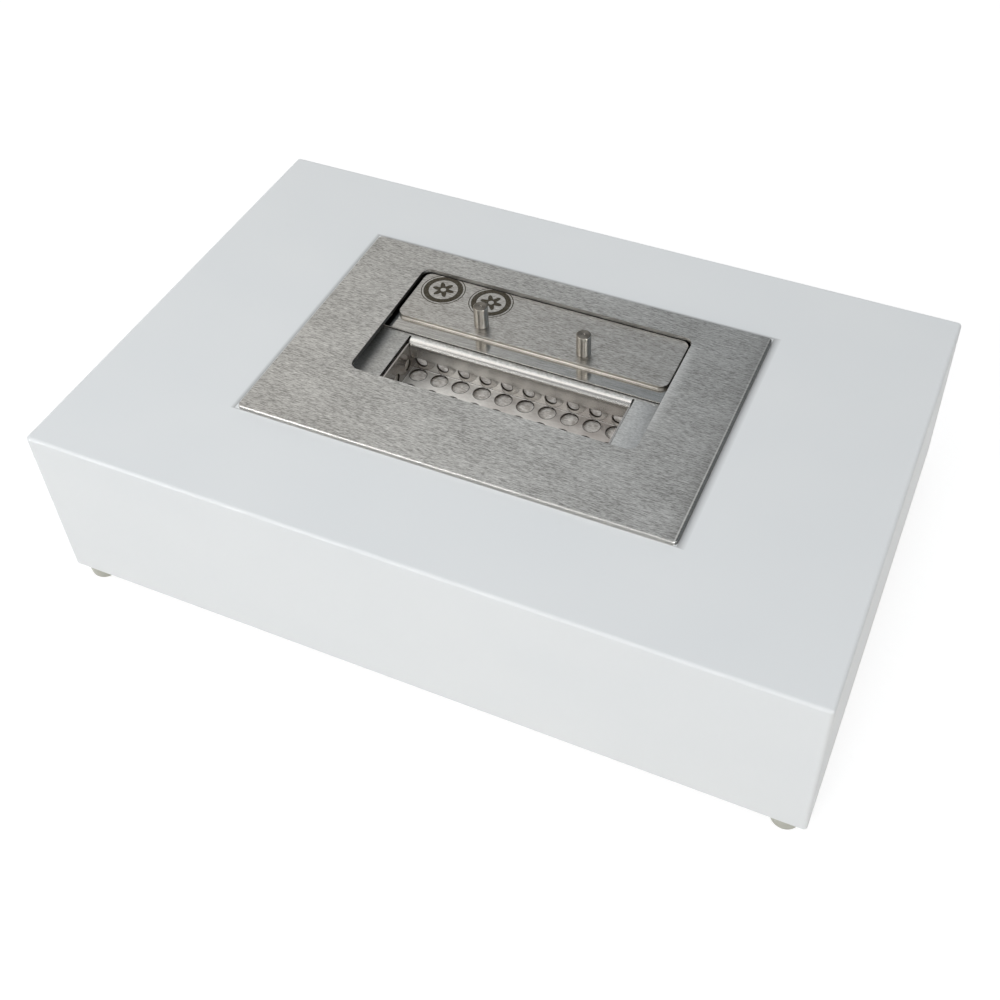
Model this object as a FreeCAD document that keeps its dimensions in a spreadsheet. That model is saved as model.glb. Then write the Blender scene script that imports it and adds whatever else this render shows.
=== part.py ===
import FreeCAD
import Part
import math
import os
import re
import Sketcher
from FreeCAD import Vector

# Tabletop bioethanol fireplace: a powder-coated steel housing on four rubber feet, with a
# stainless burner dropped into its top. The burner holds a tank packed with ceramic wool, a
# perforated flame tray hung in the mouth of its deck, and a sliding lid with two pins.
# Frame: millimetres, X right along the front, Y to the back, Z up. The origin is under the
# middle of the housing, on the plane that the feet stand on.

doc = FreeCAD.newDocument("tabletop_fireplace")
sheet = doc.addObject("Spreadsheet::Sheet", "sizes")

SIZES = [
    ("housing_length", 350.0, "outside of the housing, along X"),
    ("housing_width", 224.5, "outside of the housing, along Y"),
    ("housing_height", 83.0, "from the housing's lower edge to its top"),
    ("housing_wall", 1.5, "steel of the housing"),
    ("housing_corner_radius", 1.8, "upright corner edges, outside"),
    ("housing_top_radius", 1.5, "edges round the top, outside"),
    ("foot_height", 8.0, "rubber foot, under the housing"),
    ("foot_base_radius", 7.1, "where the foot is stuck to the flange"),
    ("foot_tip_radius", 6.4, "where the foot stands"),
    ("foot_edge_radius", 1.4, "rounding of the foot's lower edge"),
    ("foot_side_gap", 2.7, "from the housing's side to the foot"),
    ("foot_front_gap", 0.4, "from the housing's front or back to the foot"),
    ("flange_margin", 1.1, "how far the housing's lower flange reaches past a foot"),
    ("insert_shift_x", -1.2, "middle of the burner, from the housing's middle"),
    ("insert_shift_y", 2.0, "middle of the burner, from the housing's middle"),
    ("cutout_clearance", 2.0, "all round the tank, in the housing's cut-out"),
    ("cutout_radius", 5.0, "corners of the housing's cut-out"),
    ("plate_length", 200.0, "flange plate, along X"),
    ("plate_depth", 129.0, "flange plate, along Y"),
    ("plate_thickness", 2.0, "steel of the flange plate"),
    ("plate_corner_radius", 2.0, "corners of the flange plate, seen from above"),
    ("plate_edge_radius", 0.6, "upper outside edge of the flange plate"),
    ("opening_length", 135.2, "opening in the flange plate, along X"),
    ("opening_depth", 75.2, "opening in the flange plate, along Y"),
    ("opening_radius", 4.5, "corners of the opening"),
    ("plate_back_rim", 14.1, "from the plate's back edge to the opening"),
    ("tank_rim", 10.0, "how far the flange plate stands out past the tank"),
    ("tank_height", 55.0, "from the tank's bottom to the flange plate"),
    ("tank_wall", 1.0, "steel of the tank"),
    ("tank_corner_radius", 3.0, "upright corner edges of the tank, outside"),
    ("deck_drop", 3.1, "from the flange plate's underside to the deck"),
    ("deck_thickness", 1.0, "steel of the deck"),
    ("mouth_length", 110.0, "mouth in the deck, along X"),
    ("mouth_depth", 28.0, "mouth between its front and back flaps"),
    ("mouth_setback", 45.2, "from the opening's back edge to the mouth's back flap"),
    ("lip_radius", 3.8, "outside of the bend from the deck into a flap"),
    ("flap_drop", 9.2, "from the deck's top to a flap's lower edge"),
    ("relief_width", 1.0, "slit between a flap's end and the deck"),
    ("tray_thickness", 0.8, "steel of the flame tray"),
    ("tray_floor_drop", 16.5, "from the deck's top to the tray's floor"),
    ("tray_end_gap", 0.6, "from the mouth's end to the tray's end wall"),
    ("tray_end_drop", 1.4, "from the deck's top to the end wall's upper edge"),
    ("tray_bend_radius", 1.3, "outside of the tray's lower bends"),
    ("tray_notch_gap", 0.2, "between the tray's end walls and the flaps"),
    ("hole_diameter", 7.8, "holes in the tray's floor"),
    ("wall_hole_diameter", 5.6, "holes in the tray's walls"),
    ("hole_pitch", 10.8, "from hole to hole"),
    ("hole_margin", 0.2, "least metal left between a hole and the tray's walls"),
    ("wall_hole_rise", 1.9, "from the tray's floor to the lower edge of the holes in its walls"),
    ("wool_clearance", 0.3, "round the ceramic wool"),
    ("wool_corner_radius", 4.0, "corners of the ceramic wool"),
    ("rail_width", 6.0, "guide rails and spacer between deck and plate"),
    ("slide_overlap", 5.9, "how far the slide sheet reaches under the plate on each side"),
    ("slide_thickness", 1.0, "steel of the slide sheet"),
    ("slide_lift", 0.1, "running clearance between deck and slide sheet"),
    ("slide_side_play", 0.5, "between the slide sheet and each guide rail"),
    ("slide_lead", 7.5, "how far the slide sheet stands out in front of the lid"),
    ("slide_tail", 2.5, "how far it stands out behind the lid"),
    ("slide_end_play", 0.5, "between the closed slide sheet and the front spacer"),
    ("slide_corner_radius", 1.0, "corners of the slide sheet"),
    ("lid_side_gap", 1.25, "between the lid and the opening on each side"),
    ("lid_depth", 32.3, "lid, along Y"),
    ("lid_thickness", 2.0, "steel of the lid"),
    ("lid_corner_radius", 4.1, "corners of the lid, seen from above"),
    ("lid_edge_radius", 0.3, "upper edge of the lid"),
    ("lid_end_gap", 0.4, "between the lid and the opening, open or closed"),
    ("knob_radius", 3.3, "pin that the lid is moved by"),
    ("knob_height", 11.0, "height of a pin above the lid"),
    ("knob_chamfer", 0.3, "upper edge of a pin"),
    ("knob_dimple_radius", 0.6, "centre mark in a pin's top"),
    ("knob_dimple_depth", 0.4, "centre mark in a pin's top"),
    ("knob_spacing", 50.5, "from pin to pin"),
    ("knob_shift", -0.95, "middle of the two pins, from the lid's middle"),
    ("knob_setback", 7.5, "from the lid's front edge to the pins"),
    ("screw_radius", 1.5, "M3 countersunk screw, outside of the thread"),
    ("screw_length", 8.0, "M3 countersunk screw, over all"),
    ("screw_head_radius", 2.75, "M3 countersunk screw"),
    ("screw_head_height", 1.6, "M3 countersunk screw"),
    ("socket_radius", 1.15, "hexagon socket, to its corners"),
    ("socket_depth", 0.9, "hexagon socket"),
    ("thread_clearance", 0.05, "between a screw's thread and its hole"),
    ("hole_clearance", 0.15, "between a screw and the hole it goes through"),
    ("thread_spare", 1.0, "depth of the pin's thread past the screw"),
]

for row, (alias, number, meaning) in enumerate(SIZES, start=1):
    sheet.set(f"A{row}", alias)
    sheet.set(f"B{row}", str(number))
    sheet.set(f"C{row}", meaning)
    sheet.setAlias(f"B{row}", alias)

# Places worked out from the sizes above, each a formula in the same sheet.
PLACES = [
    ("housing_top", "foot_height + housing_height", "top of the housing"),
    ("return_flange", "foot_side_gap + 2 * foot_base_radius + flange_margin",
     "width of the flange turned in at the housing's bottom"),
    ("plate_top", "housing_top + plate_thickness", "top of the flange plate"),
    ("plate_back", "insert_shift_y + plate_depth / 2", "back edge of the flange plate"),
    ("opening_back", "plate_back - plate_back_rim", "back edge of the opening"),
    ("opening_front", "opening_back - opening_depth", "front edge of the opening"),
    ("opening_mid", "(opening_back + opening_front) / 2", "middle of the opening"),
    ("tank_length", "plate_length - 2 * tank_rim", "tank, along X"),
    ("tank_depth", "plate_depth - 2 * tank_rim", "tank, along Y"),
    ("tank_bottom", "housing_top - tank_height", "underside of the tank"),
    ("tank_back", "insert_shift_y + tank_depth / 2", "back of the tank"),
    ("deck_top", "housing_top - deck_drop", "top of the deck"),
    ("flap_back", "opening_back - mouth_setback", "face of the mouth's back flap"),
    ("flap_front", "flap_back - mouth_depth", "face of the mouth's front flap"),
    ("mouth_mid", "(flap_back + flap_front) / 2", "middle of the mouth"),
    ("tray_floor", "deck_top - tray_floor_drop", "upper face of the tray's floor"),
    ("tray_length", "mouth_length - 2 * tray_end_gap", "tray, outside, along X"),
    ("tray_depth", "mouth_depth + 2 * deck_thickness + 2 * tray_thickness", "tray, outside, along Y"),
    ("tray_wall_top", "deck_top - lip_radius - tray_notch_gap", "upper edge of the long walls"),
    ("tray_end_top", "deck_top - tray_end_drop", "upper edge of the end walls"),
    ("tray_notch_low", "deck_top - flap_drop - tray_notch_gap", "where the end walls make room for a flap"),
    ("holes_along", "floor((tray_length - 2 * tray_thickness - 2 * hole_margin - hole_diameter)"
     " / hole_pitch) + 1", "holes in a row along X"),
    ("holes_across", "floor((tray_depth - 2 * tray_thickness - 2 * hole_margin - hole_diameter)"
     " / hole_pitch) + 1", "holes in a row along Y"),
    ("wall_holes", "tray_floor + wall_hole_rise + wall_hole_diameter / 2", "middles of the wall holes"),
    ("slide_length", "opening_length + 2 * slide_overlap", "slide sheet under the lid, along X"),
    ("lid_length", "opening_length - 2 * lid_side_gap", "lid, along X"),
    ("slide_bottom", "deck_top + slide_lift", "underside of the slide sheet"),
    ("lid_bottom", "slide_bottom + slide_thickness", "underside of the lid"),
    ("lid_top", "lid_bottom + lid_thickness", "top of the lid"),
    ("lid_back", "opening_back - lid_end_gap", "back edge of the open lid"),
    ("lid_front", "lid_back - lid_depth", "front edge of the open lid"),
    ("lid_travel", "lid_front - opening_front - lid_end_gap", "stroke of the lid"),
    ("slide_front", "lid_front - slide_lead", "front edge of the open slide sheet"),
    ("slide_back", "lid_back + slide_tail", "back edge of the open slide sheet"),
    ("spacer_back", "slide_front - lid_travel - slide_end_play", "back of the front spacer"),
    ("rail_inside", "slide_length / 2 + slide_side_play", "inner face of a guide rail, from the middle"),
    ("knob_line", "lid_front + knob_setback", "the pins, along Y"),
    ("knob_middle", "insert_shift_x + knob_shift", "middle of the two pins, along X"),
]

first_place = len(SIZES) + 2
for row, (alias, formula, meaning) in enumerate(PLACES, start=first_place):
    sheet.set(f"A{row}", alias)
    sheet.set(f"B{row}", "=" + formula)
    sheet.set(f"C{row}", meaning)
    sheet.setAlias(f"B{row}", alias)
doc.recompute()

ALIASES = [entry[0] for entry in SIZES + PLACES]
NODES = []


def bound(formula):
    """The formula with every size name pointed at the sheet."""
    return re.sub(r"\b(" + "|".join(ALIASES) + r")\b", r"sizes.\1", str(formula))


def value(formula):
    """The formula's number, for a sketch's first shape and for the tests."""
    return float(sheet.evalExpression(bound(formula)))


def new_body(label):
    body = doc.addObject("PartDesign::Body", label)
    body.Label = label
    NODES.append(body)
    return body


def origin_part(body, role):
    return [feature for feature in body.Origin.OriginFeatures if feature.Role == role][0]


def new_sketch(body, name, height="0", role="XY_Plane"):
    """An empty sketch on one of the body's own planes, moved along the plane's normal."""
    sketch = body.newObject("Sketcher::SketchObject", body.Label + "_" + name)
    sketch.AttachmentSupport = [(origin_part(body, role), "")]
    sketch.MapMode = "FlatFace"
    sketch.setExpression(".AttachmentOffset.Base.z", bound(height))
    return sketch


def measure(sketch, name, formula, *ends):
    """A named distance in a sketch: its kind, the ends it runs between, and its formula."""
    kind, *points = ends
    index = sketch.addConstraint(Sketcher.Constraint(kind, *points, value(formula)))
    sketch.renameConstraint(index, name)
    sketch.setExpression("Constraints." + name, bound(formula))


def rectangle(sketch, middle_x, middle_y, length, depth, radius=None, name="outline"):
    """Four lines round a middle point, with an arc at each corner where a radius is given."""
    left = f"{middle_x} - ({length}) / 2"
    front = f"{middle_y} - ({depth}) / 2"
    x0, y0 = value(left), value(front)
    x1, y1 = x0 + value(length), y0 + value(depth)
    r = value(radius) if radius else 0.0
    line = sketch.GeometryCount
    starts = [Vector(x0 + r, y0, 0), Vector(x1, y0 + r, 0), Vector(x1 - r, y1, 0), Vector(x0, y1 - r, 0)]
    ends = [Vector(x1 - r, y0, 0), Vector(x1, y1 - r, 0), Vector(x0 + r, y1, 0), Vector(x0, y0 + r, 0)]
    for start, end in zip(starts, ends):
        sketch.addGeometry(Part.LineSegment(start, end), False)
    for index, kind in enumerate(("Horizontal", "Vertical", "Horizontal", "Vertical")):
        sketch.addConstraint(Sketcher.Constraint(kind, line + index))
    if radius:
        centres = [Vector(x1 - r, y0 + r, 0), Vector(x1 - r, y1 - r, 0),
                   Vector(x0 + r, y1 - r, 0), Vector(x0 + r, y0 + r, 0)]
        for index, centre in enumerate(centres):
            begin = math.radians(90 * (index - 1))
            corner = Part.Circle(centre, Vector(0, 0, 1), r)
            sketch.addGeometry(Part.ArcOfCircle(corner, begin, begin + math.radians(90)), False)
        arc = line + 4
        for index in range(4):
            following = line + (index + 1) % 4
            sketch.addConstraint(Sketcher.Constraint("Tangent", line + index, 2, arc + index, 1))
            sketch.addConstraint(Sketcher.Constraint("Tangent", arc + index, 2, following, 1))
        for index in range(1, 4):
            sketch.addConstraint(Sketcher.Constraint("Equal", arc, arc + index))
        measure(sketch, name + "_radius", radius, "Radius", arc)
    else:
        for index in range(4):
            following = line + (index + 1) % 4
            sketch.addConstraint(Sketcher.Constraint("Coincident", line + index, 2, following, 1))
    measure(sketch, name + "_length", length, "DistanceX", line + 3, 1, line + 1, 2)
    measure(sketch, name + "_depth", depth, "DistanceY", line, 1, line + 2, 1)
    measure(sketch, name + "_left", left, "DistanceX", -1, 1, line + 3, 1)
    measure(sketch, name + "_front", front, "DistanceY", -1, 1, line, 1)


def circle(sketch, middle_x, middle_y, radius, name):
    line = sketch.GeometryCount
    centre = Vector(value(middle_x), value(middle_y), 0)
    sketch.addGeometry(Part.Circle(centre, Vector(0, 0, 1), value(radius)), False)
    measure(sketch, name + "_radius", radius, "Radius", line)
    measure(sketch, name + "_x", middle_x, "DistanceX", -1, 1, line, 3)
    measure(sketch, name + "_y", middle_y, "DistanceY", -1, 1, line, 3)


def outline(sketch, points, name="point"):
    """A closed run of straight lines through points given as pairs of formulas."""
    places = [Vector(value(x), value(y), 0) for x, y in points]
    first = sketch.GeometryCount
    count = len(points)
    for index in range(count):
        sketch.addGeometry(Part.LineSegment(places[index], places[(index + 1) % count]), False)
    for index in range(count):
        sketch.addConstraint(Sketcher.Constraint("Coincident", first + index, 2,
                                                 first + (index + 1) % count, 1))
    for index, (x, y) in enumerate(points):
        measure(sketch, f"{name}{index}_x", x, "DistanceX", -1, 1, first + index, 1)
        measure(sketch, f"{name}{index}_y", y, "DistanceY", -1, 1, first + index, 1)


def extrude(body, kind, sketch, name, length, both_ways=False):
    """A Pad or a Pocket of a sketch, which adds or cuts along the sketch's normal."""
    before = body.Shape.Volume if kind == "Pocket" else 0.0
    feature = body.newObject("PartDesign::" + kind, body.Label + "_" + name)
    feature.Profile = sketch
    feature.setExpression("Length", bound(length))
    feature.Midplane = both_ways
    feature.Reversed = kind == "Pocket"
    doc.recompute()
    if kind == "Pocket" and not feature.Shape.Volume < before:
        raise RuntimeError(f"{feature.Label} cuts nothing")
    return feature


def turned(body, name, points):
    """A solid of revolution about Z, from a half outline given as radius and height."""
    sketch = new_sketch(body, name, role="XZ_Plane")
    outline(sketch, points)
    feature = body.newObject("PartDesign::Revolution", body.Label + "_" + name + "_turned")
    feature.Profile = sketch
    feature.ReferenceAxis = (sketch, ["V_Axis"])
    feature.Angle = 360.0
    doc.recompute()
    return feature


def round_edges(body, name, radius, wanted):
    """A fillet on every edge of the body so far that the test picks."""
    base = body.Tip
    picked = [f"Edge{index}" for index, edge in enumerate(base.Shape.Edges, start=1) if wanted(edge)]
    feature = body.newObject("PartDesign::Fillet", body.Label + "_" + name)
    feature.Base = (base, picked)
    feature.setExpression("Radius", bound(radius))
    doc.recompute()
    return feature


def near(first, second):
    return abs(first - second) < 0.001


def lies_at(edge, height):
    """Whether a whole edge lies at one height."""
    box = edge.BoundBox
    return near(box.ZMin, height) and near(box.ZMax, height)


def repeat(body, feature, name, axis, pitch, count):
    """Equal copies of one feature along one of the body's axes."""
    pattern = body.newObject("PartDesign::LinearPattern", body.Label + "_" + name)
    pattern.Originals = [feature]
    pattern.Direction = (origin_part(body, axis), [""])
    pattern.Mode = "Spacing"
    pattern.setExpression("Offset", bound(pitch))
    pattern.setExpression("Occurrences", bound(count))
    body.Tip = pattern
    doc.recompute()
    return pattern


def block(label, middle_x, middle_y, length, depth, low, high, radius=None):
    """A body that is one upright block."""
    body = new_body(label)
    sketch = new_sketch(body, "plan", low)
    rectangle(sketch, middle_x, middle_y, length, depth, radius)
    extrude(body, "Pad", sketch, "block", f"({high}) - ({low})")
    return body


def cut_block(body, name, middle_x, middle_y, length, depth, low, high, radius=None):
    """An upright block cut out of a body."""
    sketch = new_sketch(body, name, low)
    rectangle(sketch, middle_x, middle_y, length, depth, radius)
    return extrude(body, "Pocket", sketch, name + "_cut", f"({high}) - ({low})")


def cut_round(body, name, middle_x, middle_y, radius, low, high):
    """An upright round hole cut in a body."""
    sketch = new_sketch(body, name, low)
    circle(sketch, middle_x, middle_y, radius, "hole")
    return extrude(body, "Pocket", sketch, name + "_cut", f"({high}) - ({low})")


def cut_cone(body, name, middle_x, middle_y, low_radius, high_radius, low, height):
    """A conical recess cut in a body, upright and narrower at the top."""
    before = body.Shape.Volume
    cone = body.newObject("PartDesign::SubtractiveCone", body.Label + "_" + name)
    sizes = {"Radius1": low_radius, "Radius2": high_radius, "Height": height,
             ".Placement.Base.x": middle_x, ".Placement.Base.y": middle_y, ".Placement.Base.z": low}
    for size, formula in sizes.items():
        cone.setExpression(size, bound(formula))
    doc.recompute()
    if not cone.Shape.Volume < before:
        raise RuntimeError(f"{cone.Label} cuts nothing")


# Housing: one folded and welded sheet of steel, open below, with a flange turned in all round
# its lower edge for the feet, and a cut-out in the top that the burner is dropped into.
housing = block("housing", "0", "0", "housing_length", "housing_width",
                "foot_height", "housing_top", "housing_corner_radius")
round_edges(housing, "top_edges", "housing_top_radius",
            lambda edge: lies_at(edge, value("housing_top")))
cut_block(housing, "inside", "0", "0", "housing_length - 2 * housing_wall",
          "housing_width - 2 * housing_wall", "foot_height + housing_wall",
          "housing_top - housing_wall", "housing_corner_radius - housing_wall")
cut_block(housing, "underside", "0", "0", "housing_length - 2 * return_flange",
          "housing_width - 2 * return_flange", "foot_height", "foot_height + housing_wall")
cut_block(housing, "burner_seat", "insert_shift_x", "insert_shift_y",
          "tank_length + 2 * cutout_clearance", "tank_depth + 2 * cutout_clearance",
          "housing_top - housing_wall", "housing_top", "cutout_radius")

# Feet: four round rubber bumpers stuck under the flange, near the corners.
FEET = [("foot_front_left", -1, -1), ("foot_front_right", 1, -1),
        ("foot_back_left", -1, 1), ("foot_back_right", 1, 1)]
for label, side, end in FEET:
    foot = new_body(label)
    turned(foot, "profile", [("0", "0"), ("foot_tip_radius", "0"),
                             ("foot_base_radius", "foot_height"), ("0", "foot_height")])
    round_edges(foot, "lower_edge", "foot_edge_radius", lambda edge: lies_at(edge, 0))
    place_x = f"{side} * (housing_length / 2 - foot_side_gap - foot_base_radius)"
    place_y = f"{end} * (housing_width / 2 - foot_front_gap - foot_base_radius)"
    foot.setExpression(".Placement.Base.x", bound(place_x))
    foot.setExpression(".Placement.Base.y", bound(place_y))

# Flange plate: the brushed plate that lies on the housing and carries the whole burner.
plate = block("flange_plate", "insert_shift_x", "insert_shift_y", "plate_length", "plate_depth",
              "housing_top", "plate_top", "plate_corner_radius")
round_edges(plate, "upper_edge", "plate_edge_radius",
            lambda edge: lies_at(edge, value("plate_top")))
cut_block(plate, "opening", "insert_shift_x", "opening_mid", "opening_length", "opening_depth",
          "housing_top", "plate_top", "opening_radius")

# Fuel tank: an open steel box welded under the flange plate.
tank = block("fuel_tank", "insert_shift_x", "insert_shift_y", "tank_length", "tank_depth",
             "tank_bottom", "housing_top", "tank_corner_radius")
cut_block(tank, "inside", "insert_shift_x", "insert_shift_y", "tank_length - 2 * tank_wall",
          "tank_depth - 2 * tank_wall", "tank_bottom + tank_wall", "housing_top",
          "tank_corner_radius - tank_wall")

# Deck: the sheet that closes the tank under the plate. Its mouth has a flap bent down along
# the front and the back, each with a wide round lip, and a slit at each end of the flap.
deck = block("burner_deck", "insert_shift_x", "insert_shift_y", "tank_length - 2 * tank_wall",
             "tank_depth - 2 * tank_wall", "deck_top - deck_thickness", "deck_top",
             "tank_corner_radius - tank_wall")
cut_block(deck, "mouth", "insert_shift_x", "mouth_mid", "mouth_length",
          "mouth_depth + 2 * lip_radius", "deck_top - deck_thickness", "deck_top")


def flap_profile(sketch, face, away):
    """A flap in section: an upright strip below a quarter bend that ends at the deck's edge."""
    bend_y = f"{face} + {away} * lip_radius"
    bend_z = "deck_top - lip_radius"
    rear = f"{face} + {away} * deck_thickness"
    low = "deck_top - flap_drop"
    centre = Vector(value(bend_y), value(bend_z), 0)
    begin = math.radians(90 if away > 0 else 0)
    upper_end, lower_end = (1, 2) if away > 0 else (2, 1)
    for radius in ("lip_radius", "lip_radius - deck_thickness"):
        bend = Part.Circle(centre, Vector(0, 0, 1), value(radius))
        sketch.addGeometry(Part.ArcOfCircle(bend, begin, begin + math.radians(90)), False)
    corners = [(face, bend_z), (face, low), (rear, low), (rear, bend_z)]
    places = [Vector(value(y), value(z), 0) for y, z in corners]
    for start, end in zip(places, places[1:]):
        sketch.addGeometry(Part.LineSegment(start, end), False)
    top = Vector(value(bend_y), value("deck_top"), 0)
    under = Vector(value(bend_y), value("deck_top - deck_thickness"), 0)
    sketch.addGeometry(Part.LineSegment(top, under), False)
    outer, inner, front, lower, back, closing = range(6)
    for constraint in [
            ("Coincident", outer, 3, inner, 3), ("Tangent", outer, lower_end, front, 1),
            ("Coincident", front, 2, lower, 1), ("Coincident", lower, 2, back, 1),
            ("Tangent", back, 2, inner, lower_end), ("Coincident", closing, 1, outer, upper_end),
            ("Coincident", closing, 2, inner, upper_end), ("Vertical", front),
            ("Horizontal", lower), ("Vertical", back), ("Vertical", closing)]:
        sketch.addConstraint(Sketcher.Constraint(*constraint))
    measure(sketch, "outer_radius", "lip_radius", "Radius", outer)
    measure(sketch, "inner_radius", "lip_radius - deck_thickness", "Radius", inner)
    measure(sketch, "bend_y", bend_y, "DistanceX", -1, 1, outer, 3)
    measure(sketch, "bend_z", bend_z, "DistanceY", -1, 1, outer, 3)
    measure(sketch, "low_edge", low, "DistanceY", -1, 1, front, 2)
    measure(sketch, "deck_edge", bend_y, "DistanceX", -1, 1, closing, 1)


for flap, face, away in (("back_flap", "flap_back", 1), ("front_flap", "flap_front", -1)):
    section = new_sketch(deck, flap, "insert_shift_x", "YZ_Plane")
    flap_profile(section, face, away)
    extrude(deck, "Pad", section, flap + "_bent", "mouth_length - 2 * relief_width", both_ways=True)

# Flame tray: a folded sheet that hangs behind the flaps, with a square grid of holes in its
# floor and one row of holes in each wall.
tray = block("flame_tray", "insert_shift_x", "mouth_mid", "tray_length", "tray_depth",
             "tray_floor - tray_thickness", "tray_end_top")
round_edges(tray, "outer_bends", "tray_bend_radius",
            lambda edge: lies_at(edge, value("tray_floor - tray_thickness")))
cut_block(tray, "inside", "insert_shift_x", "mouth_mid", "tray_length - 2 * tray_thickness",
          "tray_depth - 2 * tray_thickness", "tray_floor", "tray_end_top")
round_edges(tray, "inner_bends", "tray_bend_radius - tray_thickness",
            lambda edge: lies_at(edge, value("tray_floor")))
# An end wall narrows to a tongue between the flaps, and a long wall stops below the lip.
for name, side in (("front", -1), ("back", 1)):
    inner = f"mouth_mid + {side} * (mouth_depth / 2 - tray_notch_gap)"
    notch = "deck_thickness + tray_notch_gap"
    beyond = "deck_thickness + tray_thickness + tray_notch_gap"
    cut_block(tray, name + "_notch", "insert_shift_x", f"{inner} + {side} * ({notch}) / 2",
              "tray_length", notch, "tray_notch_low", "tray_end_top")
    cut_block(tray, name + "_top", "insert_shift_x", f"{inner} + {side} * ({beyond}) / 2",
              "tray_length", beyond, "tray_wall_top", "tray_end_top")
first_hole_x = "insert_shift_x - (holes_along - 1) * hole_pitch / 2"
floor_holes = new_sketch(tray, "floor_holes", "tray_floor - tray_thickness")
for index in range(int(value("holes_across"))):
    place = f"mouth_mid + ({index} - (holes_across - 1) / 2) * hole_pitch"
    circle(floor_holes, first_hole_x, place, "hole_diameter / 2", f"row{index}")
floor_row = extrude(tray, "Pocket", floor_holes, "floor_row", "tray_thickness")
repeat(tray, floor_row, "floor_grid", "X_Axis", "hole_pitch", "holes_along")
long_wall_hole = new_sketch(tray, "long_wall_hole", "-mouth_mid", "XZ_Plane")
circle(long_wall_hole, first_hole_x, "wall_holes", "wall_hole_diameter / 2", "hole")
wall_row = extrude(tray, "Pocket", long_wall_hole, "long_wall_cut", "2 * tray_depth", both_ways=True)
repeat(tray, wall_row, "long_wall_rows", "X_Axis", "hole_pitch", "holes_along")
end_wall_holes = new_sketch(tray, "end_wall_holes", "insert_shift_x", "YZ_Plane")
for index in range(int(value("holes_across"))):
    place = f"mouth_mid + ({index} - (holes_across - 1) / 2) * hole_pitch"
    circle(end_wall_holes, place, "wall_holes", "wall_hole_diameter / 2", f"hole{index}")
extrude(tray, "Pocket", end_wall_holes, "end_wall_cut", "2 * tray_length", both_ways=True)

# Ceramic wool: a thick slab under the tray and a collar round it, which soak up the fuel.
wool_length = "tank_length - 2 * tank_wall - 2 * wool_clearance"
wool_depth = "tank_depth - 2 * tank_wall - 2 * wool_clearance"
wool_step = "tray_floor - tray_thickness - wool_clearance"
block("wool_base", "insert_shift_x", "insert_shift_y", wool_length, wool_depth,
      "tank_bottom + tank_wall", wool_step, "wool_corner_radius")
collar = block("wool_collar", "insert_shift_x", "insert_shift_y", wool_length, wool_depth,
               wool_step, "deck_top - deck_thickness - wool_clearance", "wool_corner_radius")
cut_block(collar, "round_tray", "insert_shift_x", "mouth_mid", "tray_length + 2 * wool_clearance",
          "tray_depth + 2 * wool_clearance", wool_step,
          "deck_top - deck_thickness - wool_clearance")
cut_block(collar, "round_lips", "insert_shift_x", "mouth_mid",
          "tray_length + 2 * wool_clearance",
          "mouth_depth + 2 * lip_radius + 2 * wool_clearance",
          "deck_top - lip_radius - wool_clearance", "deck_top - deck_thickness - wool_clearance")

# Guide rails and front spacer: flat bars between deck and plate that the slide sheet runs in.
rail_front = "insert_shift_y - tank_depth / 2 + tank_wall"
rail_back = "tank_back - tank_wall"
for label, side in (("guide_rail_left", -1), ("guide_rail_right", 1)):
    block(label, f"insert_shift_x + {side} * (rail_inside + rail_width / 2)", "insert_shift_y",
          "rail_width", f"{rail_back} - ({rail_front}) - tank_corner_radius", "deck_top", "housing_top")
block("front_spacer", "insert_shift_x", "spacer_back - rail_width / 2", "2 * rail_inside",
      "rail_width", "deck_top", "housing_top")

# Slide sheet: the polished sheet under the lid, kept down by the flange plate.
slide = block("slide_sheet", "insert_shift_x", "(slide_front + slide_back) / 2", "slide_length",
              "slide_back - slide_front", "slide_bottom", "lid_bottom", "slide_corner_radius")

# Lid: the brushed plate that fills the opening's width and slides over the mouth.
lid = block("lid", "insert_shift_x", "(lid_front + lid_back) / 2", "lid_length", "lid_depth",
            "lid_bottom", "lid_top", "lid_corner_radius")
round_edges(lid, "upper_edge", "lid_edge_radius", lambda edge: lies_at(edge, value("lid_top")))

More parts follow.
